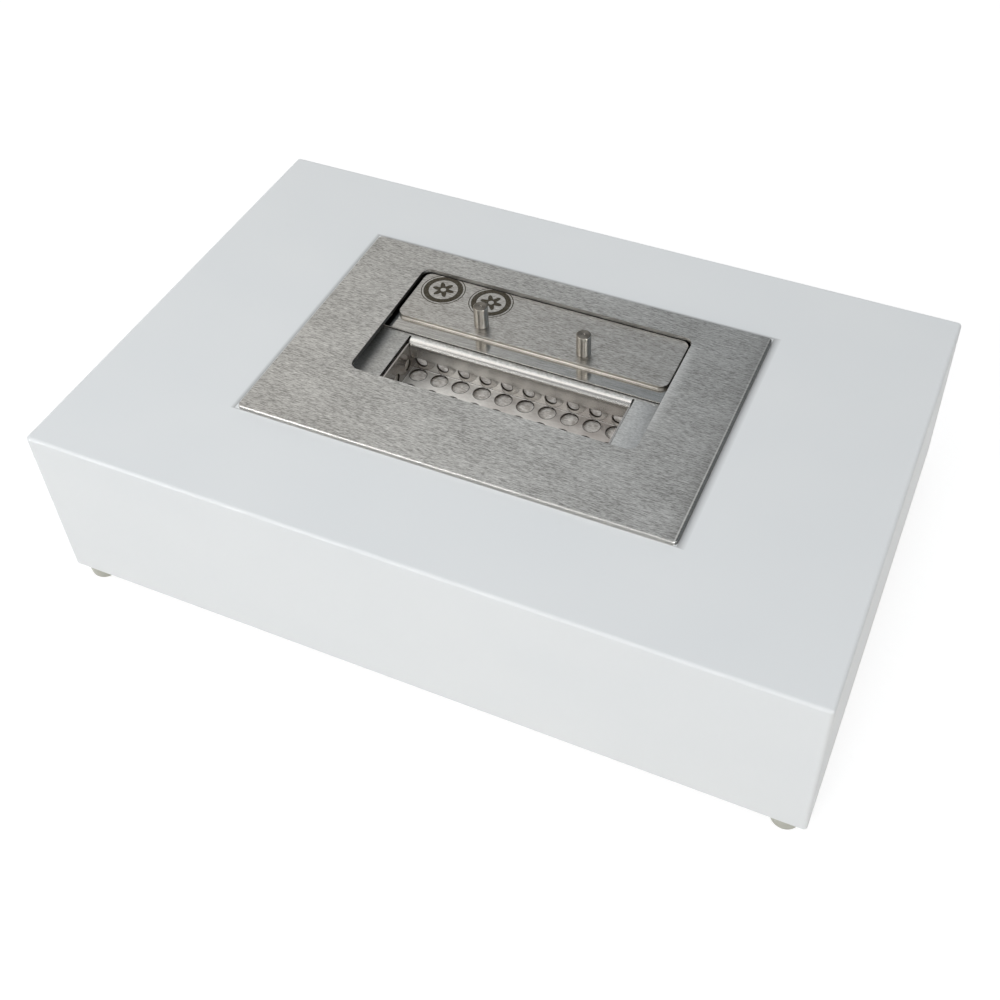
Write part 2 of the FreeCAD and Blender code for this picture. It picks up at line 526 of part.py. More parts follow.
# Pins and their screws: each screw comes up through the slide sheet and the lid into its pin.
KNOBS = [("left", -1), ("right", 1)]
for side_name, side in KNOBS:
    knob_x = f"knob_middle + {side} * knob_spacing / 2"
    seat = "screw_head_radius + hole_clearance"
    seat_slope = "(screw_head_radius - screw_radius) / screw_head_height"
    seat_in_lid = f"{seat} - slide_thickness * {seat_slope}"
    shank = "screw_radius + hole_clearance"
    cut_cone(slide, f"screw_seat_{side_name}", knob_x, "knob_line", seat, seat_in_lid,
             "slide_bottom", "slide_thickness")
    cut_cone(lid, f"screw_seat_{side_name}", knob_x, "knob_line", seat_in_lid, shank,
             "lid_bottom", "screw_head_height - slide_thickness")
    cut_round(lid, f"screw_hole_{side_name}", knob_x, "knob_line", shank, "lid_bottom", "lid_top")

    knob = new_body("knob_" + side_name)
    bore = "screw_radius + thread_clearance"
    bore_top = "screw_length - (lid_top - slide_bottom) + thread_spare"
    turned(knob, "profile", [
        (bore, "0"), ("knob_radius", "0"), ("knob_radius", "knob_height - knob_chamfer"),
        ("knob_radius - knob_chamfer", "knob_height"), ("knob_dimple_radius", "knob_height"),
        ("0", "knob_height - knob_dimple_depth"), ("0", bore_top), (bore, bore_top)])

    screw = new_body("knob_screw_" + side_name)
    turned(screw, "profile", [
        ("0", "0"), ("screw_head_radius", "0"), ("screw_radius", "screw_head_height"),
        ("screw_radius", "screw_length"), ("0", "screw_length")])
    socket = new_sketch(screw, "socket", "0")
    corners = []
    for index in range(6):
        corners.append((f"socket_radius * cos({60 * index})", f"socket_radius * sin({60 * index})"))
    outline(socket, corners)
    extrude(screw, "Pocket", socket, "socket_cut", "socket_depth")

    for piece, height in ((knob, "lid_top"), (screw, "slide_bottom")):
        piece.setExpression(".Placement.Base.x", bound(knob_x))
        piece.setExpression(".Placement.Base.y", bound("knob_line"))
        piece.setExpression(".Placement.Base.z", bound(height))

doc.recompute()

# Tests: every object is in order, and every piece is one closed solid.
for item in doc.Objects:
    wrong = {"Invalid", "Error"} & set(item.State)
    if wrong:
        raise RuntimeError(f"{item.Label}: {sorted(wrong)}")
for body in NODES:
    shape = body.Shape
    if shape.isNull() or not shape.isValid() or len(shape.Solids) != 1:
        raise RuntimeError(f"{body.Label} isn't one valid solid")

os.makedirs("parts", exist_ok=True)
for body in NODES:
    body.Shape.exportStep(os.path.join("parts", body.Label + ".step"))
    box = body.Shape.BoundBox
    print(f"{body.Label:18} {body.Shape.Volume / 1000:9.2f} cm3   "
          f"x {box.XMin:7.1f} {box.XMax:7.1f}   y {box.YMin:7.1f} {box.YMax:7.1f}   "
          f"z {box.ZMin:6.1f} {box.ZMax:6.1f}")
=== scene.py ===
# %% [markdown]
# # Tabletop bioethanol fireplace
# A low white steel box with a stainless burner dropped into its top. The pieces with hard sizes
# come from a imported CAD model, and this lesson gives them their finish: powder coat, brushed,
# polished and turned stainless steel, rubber and ceramic wool. All lengths are in metres, with
# X along the front, Y to the back and Z up.
# %% Load the frame
import math

import bmesh
import bpy
import numpy as np
from mathutils import Matrix, Vector


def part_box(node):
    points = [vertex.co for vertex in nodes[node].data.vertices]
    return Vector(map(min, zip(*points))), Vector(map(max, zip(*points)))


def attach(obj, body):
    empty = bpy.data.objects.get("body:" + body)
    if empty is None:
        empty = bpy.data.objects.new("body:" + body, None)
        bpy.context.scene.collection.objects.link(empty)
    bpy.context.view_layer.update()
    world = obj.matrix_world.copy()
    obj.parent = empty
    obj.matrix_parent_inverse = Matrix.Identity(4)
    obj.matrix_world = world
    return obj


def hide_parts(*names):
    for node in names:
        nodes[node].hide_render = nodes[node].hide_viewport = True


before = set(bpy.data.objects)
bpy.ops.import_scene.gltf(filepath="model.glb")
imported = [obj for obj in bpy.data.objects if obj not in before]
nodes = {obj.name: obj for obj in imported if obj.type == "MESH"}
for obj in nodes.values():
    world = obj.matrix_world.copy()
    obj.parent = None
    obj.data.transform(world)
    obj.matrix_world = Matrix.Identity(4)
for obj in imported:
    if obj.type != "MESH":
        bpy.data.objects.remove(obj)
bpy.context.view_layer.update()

# %% [markdown]
# ## The camera
# The photograph was taken from the front right and above. A camera was fitted to the eight
# corners of the housing, which gives its place, its three axes and its focal length. The picture's
# middle lies beside the lens axis, because the photograph was cropped, so the camera is shifted.
# %% Camera
SENSOR = 36.0
PICTURE = 1000.0
FOCAL_PIXELS = 1344.98
AXIS_PIXEL = (555.53, 420.54)

camera_data = bpy.data.cameras.new("photo_camera")
camera_data.sensor_width = SENSOR
camera_data.lens = FOCAL_PIXELS / PICTURE * SENSOR
camera_data.shift_x = 0.5 - AXIS_PIXEL[0] / PICTURE
camera_data.shift_y = AXIS_PIXEL[1] / PICTURE - 0.5
camera = bpy.data.objects.new("photo_camera", camera_data)
bpy.context.scene.collection.objects.link(camera)
bpy.context.scene.camera = camera

eye = Vector((0.19105, -0.38634, 0.49571))
forward = Vector((-0.28474, 0.64624, -0.70802)).normalized()
right = Vector((0.91944, 0.39308, -0.01099)).normalized()
up = right.cross(forward)
turn = Matrix((right, up, -forward)).transposed()
camera.matrix_world = Matrix.Translation(eye) @ turn.to_4x4()
bpy.context.scene.view_settings.view_transform = "Standard"
print("lens:", round(camera_data.lens, 2), "mm")

# %% [markdown]
# ## Colours and nodes
# Every colour is written as the sRGB hex value that a colour picker shows, and one function turns
# it into the linear numbers that Blender computes with. A second function adds a shader node of
# any kind and gives back one of its outputs, which is then an input of the next node.
# %% Colours and nodes
MM = 0.001
# A Mix node set to colours has them in its inputs 6 and 7, and gives output 2.
COLOURS = {"data_type": "RGBA", "out": 2}


def linear(code):
    """Three linear values for #RRGGBB: the sRGB curve undone, channel by channel."""
    channels = np.array([int(code[i:i + 2], 16) for i in (1, 3, 5)]) / 255.0
    low = channels / 12.92
    high = ((channels + 0.055) / 1.055) ** 2.4
    return tuple(np.where(channels <= 0.04045, low, high)) + (1.0,)


def add(tree, kind, *inputs, out=0, **settings):
    """One node with its settings and inputs, which come in order or in a dict by name or number. A
    node's output is joined to the input, and a plain value or hex colour is written into it."""
    node = tree.nodes.new("ShaderNode" + kind)
    for name, setting in settings.items():
        setattr(node, name, setting)
    sockets = inputs[0] if inputs and isinstance(inputs[0], dict) else dict(enumerate(inputs))
    for name, value in sockets.items():
        if isinstance(value, bpy.types.NodeSocket):
            tree.links.new(value, node.inputs[name])
        else:
            node.inputs[name].default_value = linear(value) if isinstance(value, str) else value
    return node.outputs[out] if len(node.outputs) else node


# %% [markdown]
# ## A few patterns
# Every finish starts from an empty material and reads Object coordinates, so a pattern stays where
# it is when its piece moves. Most patterns are noise, stretched to the size of the real grain.
# %% Patterns


def start_material(name):
    """An empty material, its node tree and the place on the piece."""
    material = bpy.data.materials.new(name)
    material.use_nodes = True
    tree = material.node_tree
    tree.nodes.clear()
    return material, tree, add(tree, "TexCoord", out="Object")


def grain(tree, place, size, detail=2.0, rough=0.5, turn=0.0):
    """Noise between 0 and 1 whose typical grain is size millimetres along X, Y and Z."""
    scale = [1.0 / (side * MM) for side in size]
    local = add(tree, "Mapping", {"Vector": place, "Scale": scale, "Rotation": (0.0, 0.0, turn)})
    return add(tree, "TexNoise", {"Vector": local, "Scale": 1.0, "Detail": detail, "Roughness": rough})


def band(tree, number, low, high):
    """1 where a number lies between two values, and 0 elsewhere."""
    above = add(tree, "Math", number, low, operation="GREATER_THAN")
    below = add(tree, "Math", number, high, operation="LESS_THAN")
    return add(tree, "Math", above, below, operation="MULTIPLY")


def facing(tree):
    """The three parts of the way a face looks: along X, along Y and up."""
    return add(tree, "SeparateXYZ", add(tree, "NewGeometry", out="Normal")).node.outputs


def give_finish(material, *names):
    """Puts the material on CAD nodes."""
    for name in names:
        for material_slot in nodes[name].material_slots:
            material_slot.material = material
    print(material.name, "->", ", ".join(names))


# %% [markdown]
# ## Painted shadow round the burner
# The burner's plate lies on the white top. Beside it a soft dark line is painted shadow, widest on the
# right. On the left and behind it starts a millimetre or two out, where the photograph shows it past
# the plate's thickness. It is worked out from the distance to the plate's box: each side has its own
# start and end, and the largest share of the four counts, so that the lines meet at the corners.
# %% Painted shadow line
# Axis, corner of the plate's box, and where the line starts and ends beyond it in millimetres.
SHADOW_LINE_SIDES = ((0, 1, 0.0, 3.6), (0, 0, -1.3, -3.4), (1, 1, 1.8, 3.2), (1, 0, 0.0, -0.6))
SHADOW_LINE_SHARE = 0.6


def painted_shadow_line(tree, place):
    """The share of painted shadow on the top: full at the line's start and fading to 0 at its end."""
    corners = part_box("flange_plate")
    axes = add(tree, "SeparateXYZ", place).node.outputs
    distance = 0.0
    for axis, corner, start, end in SHADOW_LINE_SIDES:
        edge = corners[corner][axis]
        side = add(tree, "MapRange", axes[axis], edge + start * MM, edge + end * MM)
        distance = add(tree, "Math", distance, side, operation="MAXIMUM")
    outside = add(tree, "Math", distance, 0.0, operation="GREATER_THAN")
    top = add(tree, "Math", axes["Z"], corners[0].z - 0.5 * MM, operation="GREATER_THAN")
    shadowed = add(tree, "Math", outside, top, operation="MULTIPLY")
    fading = add(tree, "MapRange", distance, 0.0, 1.0, SHADOW_LINE_SHARE, 0.0)
    return add(tree, "Math", shadowed, fading, operation="MULTIPLY")


# %% [markdown]
# ## White powder coat
# The housing is folded sheet steel with a baked polyester powder. Powder melts into a hard satin
# skin with a very fine orange peel, about a millimetre from wave to wave and a hundredth deep. It
# is white with a trace of blue, a little uneven from patch to patch, and each wave's top and foot
# differ in gloss.
# %% Powder coat


def powder_coat():
    """Satin polyester: the same noise gives the peel's bump and its change of roughness."""
    material, tree, place = start_material("white_powder_coat")
    peel = grain(tree, place, (1.1, 1.1, 1.1), detail=3.0)
    patches = grain(tree, place, (60.0, 45.0, 45.0), detail=1.0)
    white = add(tree, "Mix", {0: patches, 6: "#E1E4E5", 7: "#E6E8E8"}, **COLOURS)
    # The painted shadow round the plate darkens the white here.
    shadowed = add(tree, "Mix", {0: painted_shadow_line(tree, place), 6: white, 7: "#6A6866"}, **COLOURS)
    gloss = add(tree, "MapRange", peel, 0.3, 0.7, 0.36, 0.46)
    waves = add(tree, "Bump", {"Strength": 1.0, "Distance": 0.012 * MM, "Height": peel})
    shader = add(tree, "BsdfPrincipled", {"Base Color": shadowed, "Roughness": gloss, "Normal": waves,
                                          "IOR": 1.5})
    add(tree, "OutputMaterial", shader)
    return material


give_finish(powder_coat(), "housing")

# %% [markdown]
# ## Rubber feet
# The feet are stick-on bumpers of clear grey polyurethane rubber. Their soft skin scatters light
# a little below the surface, and dust dulls it unevenly.
# %% Rubber


def bumper_rubber():
    """Clear grey rubber: light goes about two millimetres deep, under a film of dust."""
    material, tree, place = start_material("grey_bumper_rubber")
    dust = grain(tree, place, (1.6, 1.6, 1.6), detail=4.0)
    colour = add(tree, "Mix", {0: dust, 6: "#A8A89C", 7: "#C2C2B8"}, **COLOURS)
    gloss = add(tree, "MapRange", dust, 0.3, 0.7, 0.35, 0.6)
    film = add(tree, "Bump", {"Strength": 1.0, "Distance": 0.02 * MM, "Height": dust})
    shader = add(tree, "BsdfPrincipled", {"Base Color": colour, "Roughness": gloss, "Normal": film,
                                          "IOR": 1.49, "Subsurface Weight": 0.4,
                                          "Subsurface Radius": (1.0, 1.0, 0.9),
                                          "Subsurface Scale": 2.0 * MM})
    add(tree, "OutputMaterial", shader)
    return material


give_finish(bumper_rubber(), "foot_front_left", "foot_front_right", "foot_back_left",
            "foot_back_right")

# %% [markdown]
# ## Brushed stainless steel
# Belt grinding leaves short scratches, all along the sheet. Real ones are a few hundredths of a
# millimetre wide, too fine to show here, so they are drawn about ten times as wide. Light that
# hits them spreads across the scratches, so the tangent points along Y, across them, which gives
# brushed steel its silky gleam. The same function makes the finer deck and the polished sheets,
# with less depth and contrast. Soot and dust on them is a share of the surface that isn't metal.
# %% Brushed steel
# Added up, the three noises mostly lie in this range, which goes from dark to light.
TONES = (1.2, 2.2)


def stainless(name, dark, light, streak, depth, roughness, spread, mottle=(8.0, 3.0), metal=1.0,
              spots=None):
    """Rolled steel with scratches along X. streak is their length and width in millimetres, depth
    their drawn depth, roughness its value where dark and where light, spread how far light fans
    out, and metal is less than 1 where a film of soot or dust scatters some of the light."""
    material, tree, place = start_material(name)
    fine = grain(tree, place, (streak[0], streak[1], streak[1]), detail=3.0, rough=0.6)
    specks = grain(tree, place, (1.1, 0.7, 0.7), detail=2.0)
    clouds = grain(tree, place, (mottle[0], mottle[1], mottle[1]), detail=3.0)
    scratches = add(tree, "Math", fine, 2.2, operation="MULTIPLY")
    tone = add(tree, "Math", scratches, add(tree, "Math", specks, 0.6, operation="MULTIPLY"))
    tone = add(tree, "Math", tone, add(tree, "Math", clouds, 0.5, operation="MULTIPLY"))
    share = add(tree, "MapRange", tone, *TONES, 0.0, 1.0)
    colour = add(tree, "Mix", {0: share, 6: dark, 7: light}, **COLOURS)
    rough = add(tree, "MapRange", tone, *TONES, *roughness)
    if spots:
        colour, rough = spots(tree, place, colour, rough)
    across = add(tree, "CombineXYZ", 0.0, 1.0, 0.0)
    relief = add(tree, "Bump", {"Strength": 1.0, "Distance": depth * MM, "Height": scratches})
    shader = add(tree, "BsdfPrincipled", {"Base Color": colour, "Roughness": rough,
                                          "Tangent": across, "Normal": relief,
                                          "Metallic": metal, "Anisotropic": spread})
    add(tree, "OutputMaterial", shader)
    return material


# %% [markdown]
# ## The plate's face
# The plate is darker towards the left of its front, and over the last few millimetres beside its right
# edge. Right of the opening a bright border is a painted highlight. Each is a share that rises or
# falls over a strip of a given width, and by that share a second colour covers the first.
# %% Plate face
DARKER_STEEL = "#5E5C58"
FRONT_LEFT_SHARE = 0.12
FRONT_LEFT_STRIP = 22.0 * MM
RIGHT_SHARE = 0.3
RIGHT_STRIP = 7.0 * MM
# The bright border right of the opening is a painted highlight.
OPENING_HIGHLIGHT_SHARE = 0.45
OPENING_HIGHLIGHT_FADE = (2.0 * MM, 6.0 * MM)
OPENING_HIGHLIGHT_FRONT = (-0.015, 0.005)
OPENING_HIGHLIGHT_BACK = 12.0 * MM


def plate_face_tones(tree, axes, colour):
    """Front left: the share along the front times the share to the left. Painted highlight: a share
    that fades to the right, times its two ends."""
    low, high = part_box("flange_plate")
    lid_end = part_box("lid")[1]
    front = add(tree, "MapRange", axes["Y"], low.y, low.y + FRONT_LEFT_STRIP, 1.0, 0.0)
    left = add(tree, "MapRange", axes["X"], low.x + 20 * MM, 0.0, FRONT_LEFT_SHARE, 0.0)
    darker_front_left = add(tree, "Math", front, left, operation="MULTIPLY")
    colour = add(tree, "Mix", {0: darker_front_left, 6: colour, 7: DARKER_STEEL}, **COLOURS)

    # The painted highlight right of the opening, fading to the right.
    fade = add(tree, "MapRange", axes["X"], lid_end.x + OPENING_HIGHLIGHT_FADE[0], lid_end.x + OPENING_HIGHLIGHT_FADE[1],
               OPENING_HIGHLIGHT_SHARE, 0.0)
    beyond = add(tree, "Math", axes["X"], lid_end.x, operation="GREATER_THAN")
    opening_highlight = add(tree, "Math", fade, beyond, operation="MULTIPLY")
    start = add(tree, "MapRange", axes["Y"], *OPENING_HIGHLIGHT_FRONT, 0.0, 1.0)
    end = add(tree, "MapRange", axes["Y"], lid_end.y - OPENING_HIGHLIGHT_BACK, lid_end.y, 1.0, 0.0)
    along = add(tree, "Math", start, end, operation="MULTIPLY")
    opening_highlight = add(tree, "Math", opening_highlight, along, operation="MULTIPLY")
    colour = add(tree, "Mix", {0: opening_highlight, 6: colour, 7: "#E4E3E0"}, **COLOURS)

    right_share = add(tree, "MapRange", axes["X"], high.x - RIGHT_STRIP, high.x, 0.0, RIGHT_SHARE)
    return add(tree, "Mix", {0: right_share, 6: colour, 7: DARKER_STEEL}, **COLOURS)


# %% [markdown]
# ## The plate's edges
# A deburring wheel rounds the plate's upper edges. Their tilted faces are painted darker, as shade,
# all but the front, where the rounding carries a painted highlight over a plain grey cut. On the right
# the edge's last millimetre is painted dark, and a painted highlight line runs a millimetre inside it.
# Which way a face looks tells the rounding from the flat, and its place tells the line.
# %% Plate edges
RIGHT_EDGE = (1.0 * MM, 0.7 * MM)
# The painted highlight line lies between these distances inside the right edge.
RIGHT_HIGHLIGHT_LINE = (1.6 * MM, 1.3 * MM)
# Along Y, the painted highlight line weakens between these two places.
HIGHLIGHT_LINE_ENDS = (-0.03, 0.05)


def plate_edge_light_and_shade(tree, place, colour, rough):
    """The face's tones, then the front rounding's painted highlight over its cut, the painted dark
    edges and the painted highlight line.
    """
    edge_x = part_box("flange_plate")[1].x
    axes = add(tree, "SeparateXYZ", place).node.outputs
    colour = plate_face_tones(tree, axes, colour)
    way = facing(tree)
    # A painted highlight on the front rounding, over the cut's own grey.
    rounding_highlight = add(tree, "MapRange", way["Y"], -0.2, -0.6, 0.0, 0.6)
    colour = add(tree, "Mix", {0: rounding_highlight, 6: colour, 7: "#E8E6E2"}, **COLOURS)
    cut = add(tree, "MapRange", way["Y"], -0.90, -0.97, 0.0, 1.0)
    colour = add(tree, "Mix", {0: cut, 6: colour, 7: "#BEBCB8"}, **COLOURS)

    # Painted shade on the tilted edges, weak at the front, and on the right edge's last millimetre.
    tilted = add(tree, "MapRange", way["Z"], 0.2, 0.95, 0.8, 0.0)
    not_front = add(tree, "MapRange", way["Y"], -0.5, -0.1, 0.1, 1.0)
    dark = add(tree, "Math", tilted, not_front, operation="MULTIPLY")
    right_edge = add(tree, "MapRange", axes["X"], edge_x - RIGHT_EDGE[0], edge_x - RIGHT_EDGE[1])
    right_edge_shade = add(tree, "Math", right_edge, 0.6, operation="MULTIPLY")
    dark = add(tree, "Math", dark, right_edge_shade, operation="MAXIMUM")
    colour = add(tree, "Mix", {0: dark, 6: colour, 7: "#5A5854"}, **COLOURS)

    # The painted highlight line inside the dark right edge.
    highlight_line = add(tree, "MapRange", axes["X"], edge_x - RIGHT_HIGHLIGHT_LINE[0], edge_x - RIGHT_HIGHLIGHT_LINE[1], 0.0, 0.4)
    inside = add(tree, "Math", 1.0, right_edge, operation="SUBTRACT")
    highlight_line = add(tree, "Math", highlight_line, inside, operation="MULTIPLY")
    weaker = add(tree, "MapRange", axes["Y"], *HIGHLIGHT_LINE_ENDS, 1.0, 0.5)
    highlight_line = add(tree, "Math", highlight_line, weaker, operation="MULTIPLY")
    return add(tree, "Mix", {0: highlight_line, 6: colour, 7: "#F4F2EE"}, **COLOURS), rough


# %% [markdown]
# ## Sheared edges
# The lid and the sheet under it are cut by a guillotine, and their front faces are duller than the
# ground flat. Each front face is painted in two tones, one over the other: on the sheet a painted
# shadow along its foot, on the lid a painted highlight low on the face.
# %% Sheared edges
CUT_ROUGHNESS = 0.55


def painted_front_tones(name, share, upper, lower):
    """A finish for the front face: two tones, painted light and shade, that meet at a share of the
    sheet's thickness.
    """
    low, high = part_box(name)
    split = low.z + share * (high.z - low.z)

    def cut(tree, place, colour, rough):
        face = add(tree, "MapRange", facing(tree)["Y"], -0.75, -0.95, 0.0, 1.0)
        height = add(tree, "SeparateXYZ", place, out="Z")
        over = add(tree, "Math", height, split, operation="GREATER_THAN")
        tone = add(tree, "Mix", {0: over, 6: lower, 7: upper}, **COLOURS)
        colour = add(tree, "Mix", {0: face, 6: colour, 7: tone}, **COLOURS)
        return colour, add(tree, "MapRange", face, 0.0, 1.0, rough, CUT_ROUGHNESS)

    return cut


# %% [markdown]
# ## The deck's bends
# The deck's flaps and round lips were buffed to a mirror after the flat was ground. A laser cut its
# ends, which are painted almost black: dark with scale, and painted shade of the narrow slit beside
# them. Its flat is darker left of the mouth and lighter right of it.
# %% Deck bends
DECK_LEFT = (-58.0 * MM, -52.0 * MM)
DECK_RIGHT = (50.0 * MM, 56.0 * MM)


def polished_bends(tree, place, colour, rough):
    """The two ends of the flat, then the bends, where a face tilts, and last the cut ends."""
    way = facing(tree)
    along = add(tree, "SeparateXYZ", place, out="X")
    darker_left = add(tree, "MapRange", along, *DECK_LEFT, 0.25, 0.0)
    colour = add(tree, "Mix", {0: darker_left, 6: colour, 7: "#6E6C69"}, **COLOURS)
    lighter_right = add(tree, "MapRange", along, *DECK_RIGHT, 0.0, 0.2)
    colour = add(tree, "Mix", {0: lighter_right, 6: colour, 7: "#F0F2F4"}, **COLOURS)
    bend = add(tree, "MapRange", way["Z"], 0.995, 0.88, 0.0, 1.0)
    colour = add(tree, "Mix", {0: bend, 6: colour, 7: "#DAD7D2"}, **COLOURS)
    rough = add(tree, "MapRange", bend, 0.0, 1.0, rough, 0.24)
    # The cut ends are nearly black: scale, and painted shade of the slit beside them.
    sideways = add(tree, "Math", way["X"], 0.0, operation="ABSOLUTE")
    cut_end = add(tree, "Math", sideways, 0.8, operation="GREATER_THAN")
    colour = add(tree, "Mix", {0: cut_end, 6: colour, 7: "#2E2C29"}, **COLOURS)
    return colour, add(tree, "MapRange", cut_end, 0.0, 1.0, rough, 0.6)


# %% [markdown]
# ## The tray's holes
# Round each hole a thin dark ring is painted shade, and so is the inside of the hole, between the
# sheet's two faces. The holes lie in rows of one pitch, so the distance to the nearest middle is a
# sawtooth of the place, and a ring is where that distance is just over the hole's radius.
# %% Punched holes
# The pitch, and a hole's place along its two axes and its radius, in millimetres.
HOLE_PITCH = 10.8
FLOOR_HOLE = (-49.8, 4.0, 3.9)
WALL_HOLE = (-49.8, 76.1, 2.8)
# Where the painted shade ring starts and ends beyond the hole's radius, in millimetres.
HOLE_SHADE_RING = (-0.1, 0.3)
# Two depths from the outer face that leave out both faces of the sheet, which is 0.8 mm thick.
SHEET_INSIDE = (0.06 * MM, 0.74 * MM)


def nearest(tree, number, start):
    """How far a place lies from the nearest of a row of middles: a sawtooth of the given pitch."""
    shifted = add(tree, "Math", number, start * MM, operation="SUBTRACT")
    steps = add(tree, "Math", shifted, HOLE_PITCH * MM, operation="DIVIDE")
    share = add(tree, "Math", add(tree, "Math", steps, 0.5), 0.0, operation="FRACT")
    offset = add(tree, "Math", share, 0.5, operation="SUBTRACT")
    return add(tree, "Math", offset, HOLE_PITCH * MM, operation="MULTIPLY")


def hole_shade_ring(tree, first, second, radius):
    """1 on a thin ring of painted shade just outside a punched hole's edge."""
    flat = add(tree, "CombineXYZ", first, second)
    length = add(tree, "VectorMath", flat, operation="LENGTH", out="Value")
    return band(tree, length, (radius + HOLE_SHADE_RING[0]) * MM, (radius + HOLE_SHADE_RING[1]) * MM)


def hole_shade_rings(tree, axes, on_floor):
    """The painted shade rings of the floor's holes on the floor, and those of the walls' holes
    elsewhere.
    """
    across = nearest(tree, axes["X"], FLOOR_HOLE[0])
    along = nearest(tree, axes["Y"], FLOOR_HOLE[1])
    rise = add(tree, "Math", axes["Z"], WALL_HOLE[1] * MM, operation="SUBTRACT")
    floor_ring = hole_shade_ring(tree, across, along, FLOOR_HOLE[2])
    floor_ring = add(tree, "Math", floor_ring, on_floor, operation="MULTIPLY")
    elsewhere = add(tree, "Math", 1.0, on_floor, operation="SUBTRACT")
    wall_ring = hole_shade_ring(tree, across, rise, WALL_HOLE[2])
    wall_ring = add(tree, "Math", wall_ring, elsewhere, operation="MULTIPLY")
    return add(tree, "Math", add(tree, "Math", floor_ring, wall_ring), 0.75, operation="MULTIPLY")


def inside_sheet(tree, axes):
    """1 between the two faces of the floor or of a wall, but not on the tray's upper rim."""
    low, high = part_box("flame_tray")
    inside = band(tree, axes["Z"], low.z + SHEET_INSIDE[0], low.z + SHEET_INSIDE[1])
    for axis in (0, 1):
        middle, half = (low[axis] + high[axis]) / 2, (high[axis] - low[axis]) / 2
        offset = add(tree, "Math", axes[axis], middle, operation="SUBTRACT")
        offset = add(tree, "Math", offset, 0.0, operation="ABSOLUTE")
        wall = band(tree, offset, half - SHEET_INSIDE[1], half - SHEET_INSIDE[0])
        inside = add(tree, "Math", inside, wall, operation="MAXIMUM")
    below_rim = add(tree, "Math", axes["Z"], high.z - 0.1 * MM, operation="LESS_THAN")
    return add(tree, "Math", inside, below_rim, operation="MULTIPLY")


# %% [markdown]
# ## The tray's tarnish and painted shade
# Flames tarnish the polished tray, most of all on its right. Its left end is painted shade, and it is
# darker along the top of its walls. The floor is dull from the fuel that spills on it, while the walls
# still mirror it.
# %% Used tray
TARNISH_ALONG = (-0.03, 0.05)
# Where the painted shade at the left end fades, and the height where the walls darken.
LEFT_SHADE_ALONG = (-0.050, -0.036)
TOP_DARKENING_HEIGHT = (0.0755, 0.0785)


def used_tray(tree, place, colour, rough):
    """Tarnish, then painted shade at the left end and darkening along the walls' top, then the holes'
    painted shade, one over the other.
    """
    axes = add(tree, "SeparateXYZ", place).node.outputs
    floor_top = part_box("flame_tray")[0].z + 0.9 * MM
    on_floor = add(tree, "Math", axes["Z"], floor_top, operation="LESS_THAN")
    smoke = grain(tree, place, (14.0, 9.0, 9.0), detail=3.0)
    tarnish = add(tree, "Math", add(tree, "MapRange", axes["X"], *TARNISH_ALONG, 0.0, 0.55),
                  add(tree, "MapRange", smoke, 0.3, 0.7, -0.25, 0.2))
    tarnish = add(tree, "Math", tarnish, add(tree, "MapRange", on_floor, 0.0, 1.0, 0.25, 1.0),
                  operation="MULTIPLY")
    colour = add(tree, "Mix", {0: tarnish, 6: colour, 7: "#9A8C86"}, **COLOURS)

    # Painted shade at the left end, and darker along the top of the walls.
    left_shade_and_darkening = add(tree, "Math", add(tree, "MapRange", axes["X"], *LEFT_SHADE_ALONG, 0.6, 0.0),
               add(tree, "MapRange", axes["Z"], *TOP_DARKENING_HEIGHT, 0.0, 0.4), operation="MAXIMUM")
    left_shade_and_darkening = add(tree, "Math", left_shade_and_darkening, add(tree, "MapRange", on_floor, 0.0, 1.0, 1.0, 0.3),
               operation="MULTIPLY")
    colour = add(tree, "Mix", {0: left_shade_and_darkening, 6: colour, 7: "#6A6058"}, **COLOURS)

    # The holes' painted shade: rings round them and their cut insides.
    inside = inside_sheet(tree, axes)
    dark = add(tree, "Math", hole_shade_rings(tree, axes, on_floor), inside, operation="MAXIMUM")
    colour = add(tree, "Mix", {0: dark, 6: colour, 7: "#3A342E"}, **COLOURS)
    rough = add(tree, "MapRange", on_floor, 0.0, 1.0, rough, 0.5)
    return colour, add(tree, "MapRange", inside, 0.0, 1.0, rough, 0.6)


# %% [markdown]
# ## The burner's steels
# Each steel is the same function with the settings of its own making. The plate is belt ground,
# with a silky gleam. The deck is ground finer and looks even and matt. The tank has the cloudy
# finish of plain rolled sheet. The sheet under the lid and the tray are polished, and mirror what
# is near them.
# %% Five steels
# The sheet's front: a light upper band over a painted shadow where it sits on the deck.
slide_front = painted_front_tones("slide_sheet", 0.45, "#DEDBD6", "#55524E")
plate_steel = stainless("brushed_stainless_plate", "#7A7976", "#CFCECB", (3.0, 0.38), 0.012,
                        (0.42, 0.34), 0.5, mottle=(30.0, 14.0), spots=plate_edge_light_and_shade)
deck_steel = stainless("fine_brushed_stainless_deck", "#999996", "#D0D0CE", (1.6, 0.8), 0.001,
                       (0.50, 0.44), 0.0, mottle=(9.0, 6.0), metal=0.95, spots=polished_bends)
tank_steel = stainless("mill_stainless_tank", "#A8A8A6", "#C4C4C2", (8.0, 1.0), 0.004,
                       (0.42, 0.3), 0.2, mottle=(25.0, 25.0))
sheet_steel = stainless("polished_stainless_sheet", "#A8A6A1", "#D0CECA", (9.0, 0.7), 0.002,
                        (0.16, 0.12), 0.3, spots=slide_front)
tray_steel = stainless("polished_stainless_tray", "#E4E1DC", "#F8F6F2", (3.0, 1.2), 0.002,
                       (0.20, 0.14), 0.0, mottle=(6.0, 5.0), metal=0.90, spots=used_tray)
give_finish(plate_steel, "flange_plate")
give_finish(tank_steel, "fuel_tank", "guide_rail_left", "guide_rail_right", "front_spacer")
give_finish(sheet_steel, "slide_sheet")
give_finish(tray_steel, "flame_tray")

